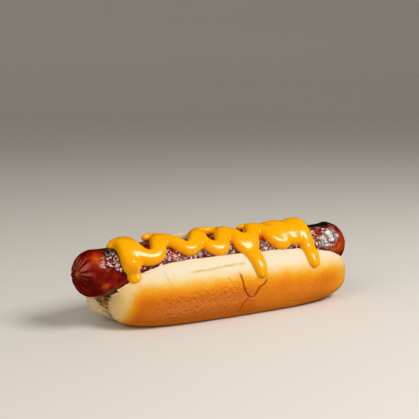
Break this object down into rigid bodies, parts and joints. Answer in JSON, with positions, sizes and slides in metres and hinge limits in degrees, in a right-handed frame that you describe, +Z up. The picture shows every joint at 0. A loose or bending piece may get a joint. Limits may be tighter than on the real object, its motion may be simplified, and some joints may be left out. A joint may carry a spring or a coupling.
{
  "type": "hot dog",
  "caption": "Grilled sausage in a soft hinged bun, with a thick zigzag of mustard on top that runs down one side of the bun.",
  "frame": {"origin": "middle of the bounding box's base, on the surface that the bun rests on", "axes": "+X along the bun and the sausage, +Y towards the taller half of the bun, +Z up; the mustard runs down the bun's lower half at -Y"},
  "size_m": [0.176, 0.0531, 0.05],
  "materials": {
    "bun_crust": "soft baked crust, satin brown on the outside, pale matt crumb inside",
    "sausage_skin": "greasy grilled skin, glossy, charred in patches",
    "mustard_sauce": "smooth wet sauce, glossy"
  },
  "bodies": {
    "root": {"bun": "bun_crust", "sausage": "sausage_skin", "mustard": "mustard_sauce"}
  },
  "joints": []
}
